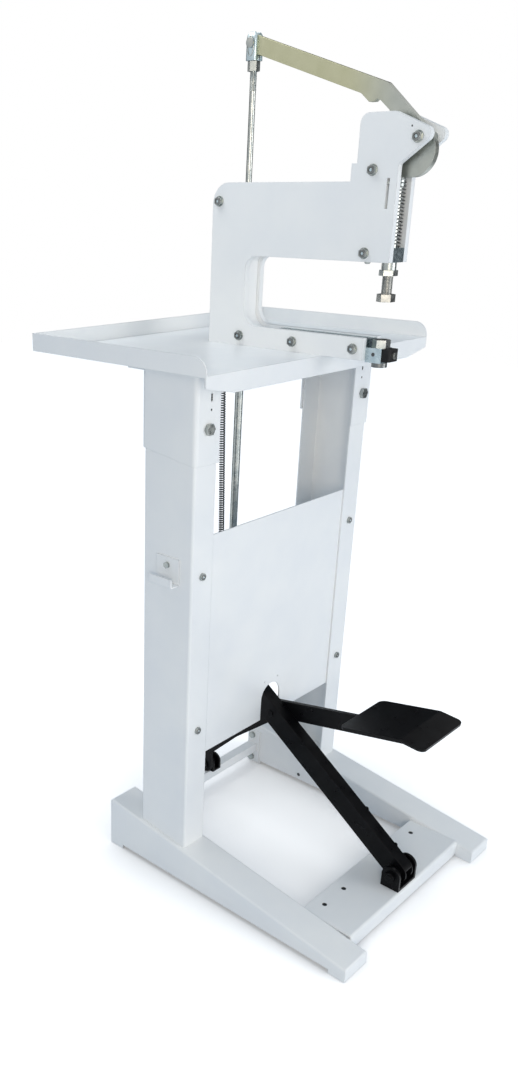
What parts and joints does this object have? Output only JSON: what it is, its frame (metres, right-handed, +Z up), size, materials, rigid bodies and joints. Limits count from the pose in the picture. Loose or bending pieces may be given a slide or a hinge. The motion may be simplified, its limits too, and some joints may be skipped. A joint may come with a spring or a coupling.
{
  "type": "foot-operated eyelet press",
  "caption": "Free-standing foot press with a tray and a C-frame head; a pedal pulls a rod down, and the lever on top pushes a ram toward a die.",
  "frame": {"origin": "on the floor under the middle of the machine's outline", "axes": "+Z up, -Y toward the operator, +X to the operator's right"},
  "size_m": [0.61, 0.658, 1.402],
  "materials": {
    "white_coat": "satin powder coat",
    "black_coat": "satin black powder coat",
    "bright_zinc": "bright zinc plate",
    "yellow_zinc": "pale yellow zinc plate",
    "spring_steel": "oiled spring steel",
    "black_plastic": "matte"
  },
  "bodies": {
    "stand": {"left_foot": "white_coat", "right_foot": "white_coat", "front_cross_plate": "white_coat", "rear_cross_bar": "white_coat", "cross_bar_bolts": "bright_zinc", "left_post": "white_coat", "right_post": "white_coat", "front_panel": "white_coat", "panel_screws": "bright_zinc", "tool_hook": "white_coat", "hook_bolt": "bright_zinc", "front_clevis": "black_coat", "clevis_bolts": "bright_zinc", "clevis_pin": "black_coat", "clevis_bushes": "black_coat", "rear_bracket": "black_coat", "rear_pivot_pin": "black_coat"},
    "head": {"left_sleeve": "white_coat", "right_sleeve": "white_coat", "sleeve_bolts": "bright_zinc", "tray": "white_coat", "tray_screws": "bright_zinc", "cross_beam": "white_coat", "left_tray_bracket": "white_coat", "right_tray_bracket": "white_coat", "left_side_plate": "white_coat", "right_side_plate": "white_coat", "frame_bolts": "bright_zinc", "frame_spacers": "bright_zinc", "pivot_bolt": "bright_zinc", "lever_spacers": "bright_zinc", "head_screws": "bright_zinc", "throat_web": "white_coat", "guide_block": "bright_zinc", "anvil_bar": "bright_zinc", "die_clamp": "bright_zinc", "die_bush": "black_coat", "die_nut": "bright_zinc", "stop_block": "black_plastic", "stop_screw": "bright_zinc", "ram_spring": "bright_zinc", "return_spring": "spring_steel", "spring_bracket": "bright_zinc"},
    "top_lever": {"top_lever": "yellow_zinc"},
    "rod": {"fork_head": "bright_zinc", "fork_pin": "bright_zinc", "fork_lock_nut": "bright_zinc", "upper_rod": "bright_zinc"},
    "ram": {"ram": "bright_zinc", "ram_guide_pin": "bright_zinc", "punch_holder": "bright_zinc", "ram_lock_nut": "bright_zinc"},
    "drive_bar": {"drive_bar": "black_coat", "cross_pin": "black_coat", "rod_pin": "black_coat"},
    "tube": {"rod_clevis": "black_coat", "lower_tube": "bright_zinc", "tube_nut": "bright_zinc"},
    "pedal": {"pedal_arm": "black_coat", "pedal_plate": "black_coat"}
  },
  "joints": [
    {"name": "table_height", "type": "slide", "parent": "stand", "child": "head", "axis": [0, 0, 1], "range_m": [0, 0.06]},
    {"name": "pedal_swing", "type": "hinge", "parent": "stand", "child": "pedal", "pos_m": [0.017, 0.197, 0.068], "axis": [1, 0, 0], "range_deg": [0, 11], "stiffness_Nm_per_rad": 30, "springref_deg": -45.84},
    {"name": "drive_bar_swing", "type": "hinge", "parent": "stand", "child": "drive_bar", "pos_m": [0, -0.276, 0.06], "axis": [-1, 0, 0], "range_deg": [0, 9.5], "deforming": ["return_spring"]},
    {"name": "top_lever_swing", "type": "hinge", "parent": "head", "child": "top_lever", "pos_m": [0, -0.172, 1.248], "axis": [-1, 0, 0], "range_deg": [0, 12.8]},
    {"name": "rod_swing", "type": "hinge", "parent": "top_lever", "child": "rod", "pos_m": [0, 0.139, 1.387], "axis": [1, 0, 0], "range_deg": [0, 13.9]},
    {"name": "tube_swing", "type": "hinge", "parent": "drive_bar", "child": "tube", "pos_m": [0, 0.13909, 0.35389], "axis": [1, 0, 0], "range_deg": [0, 10.6]},
    {"name": "ram_travel", "type": "slide", "parent": "head", "child": "ram", "axis": [0, 0, -1], "range_m": [0, 0.0082], "deforming": ["ram_spring"]}
  ],
  "couplings": [
    {"joint": "drive_bar_swing", "follows": "pedal_swing", "ratio": 0.852},
    {"joint": "top_lever_swing", "follows": "pedal_swing", "ratio": 1.1534},
    {"joint": "rod_swing", "follows": "pedal_swing", "ratio": 1.2489},
    {"joint": "tube_swing", "follows": "pedal_swing", "ratio": 0.94746},
    {"joint": "ram_travel", "follows": "pedal_swing", "m_per_rad": 0.042191}
  ]
}
